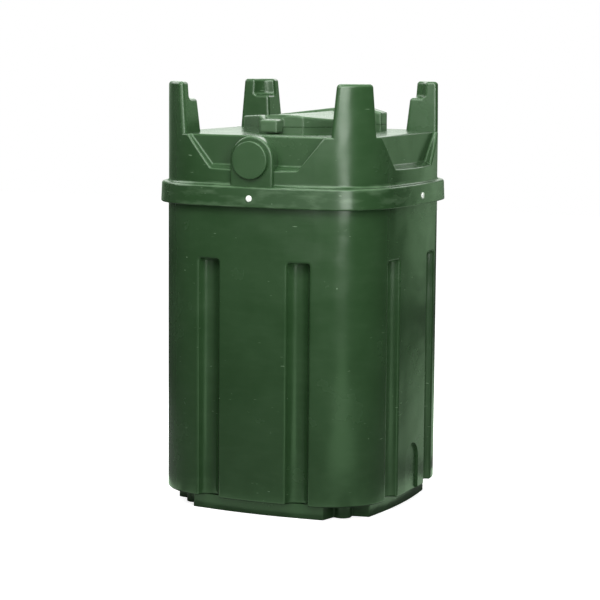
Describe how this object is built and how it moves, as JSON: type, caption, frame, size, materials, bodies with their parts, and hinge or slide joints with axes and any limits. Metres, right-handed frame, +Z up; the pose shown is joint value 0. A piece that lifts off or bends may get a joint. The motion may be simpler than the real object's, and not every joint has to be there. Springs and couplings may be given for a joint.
{
  "type": "bunded heating oil tank",
  "caption": "Square moulded plastic oil tank with a ribbed bund wall on a footed plinth, a screwed-on cover with stacking posts and a hinged access lid over the inner tank.",
  "frame": {"origin": "on the floor under the middle of the tank", "axes": "Z up, front with the round cap towards -Y, X to the right seen from the front"},
  "size_m": [0.8894, 0.8894, 1.451],
  "materials": {
    "green_moulding": "semi-gloss moulded polyethylene",
    "green_cap": "semi-gloss moulded polyethylene",
    "inner_moulding": "matt moulded polyethylene",
    "black_fitting": "matt black plastic",
    "white_screw": "white capped screw head",
    "pin_steel": "plain steel"
  },
  "bodies": {
    "tank": {"bund_base": "green_moulding", "bund_wall": "green_moulding", "rim_skirt": "green_moulding", "cover_wall": "green_moulding", "deck": "green_moulding", "access_curb": "green_moulding", "front_boss": "green_moulding", "front_cap": "green_cap", "inner_tank": "inner_moulding", "filler_cap": "black_fitting", "corner_post_front_right": "green_moulding", "corner_post_back_right": "green_moulding", "corner_post_back_left": "green_moulding", "corner_post_front_left": "green_moulding", "rim_screw_front": "white_screw", "rim_screw_right": "white_screw", "rim_screw_back": "white_screw", "rim_screw_left": "white_screw", "hinge_lug_left": "green_moulding", "hinge_lug_right": "green_moulding"},
    "lid": {"access_lid": "green_moulding", "hinge_pin_left": "pin_steel", "hinge_pin_right": "pin_steel"}
  },
  "joints": [
    {"name": "lid_hinge", "type": "hinge", "parent": "tank", "child": "lid", "pos_m": [0, 0.27, 1.298], "axis": [-1, 0, 0], "range_deg": [0, 95]}
  ]
}
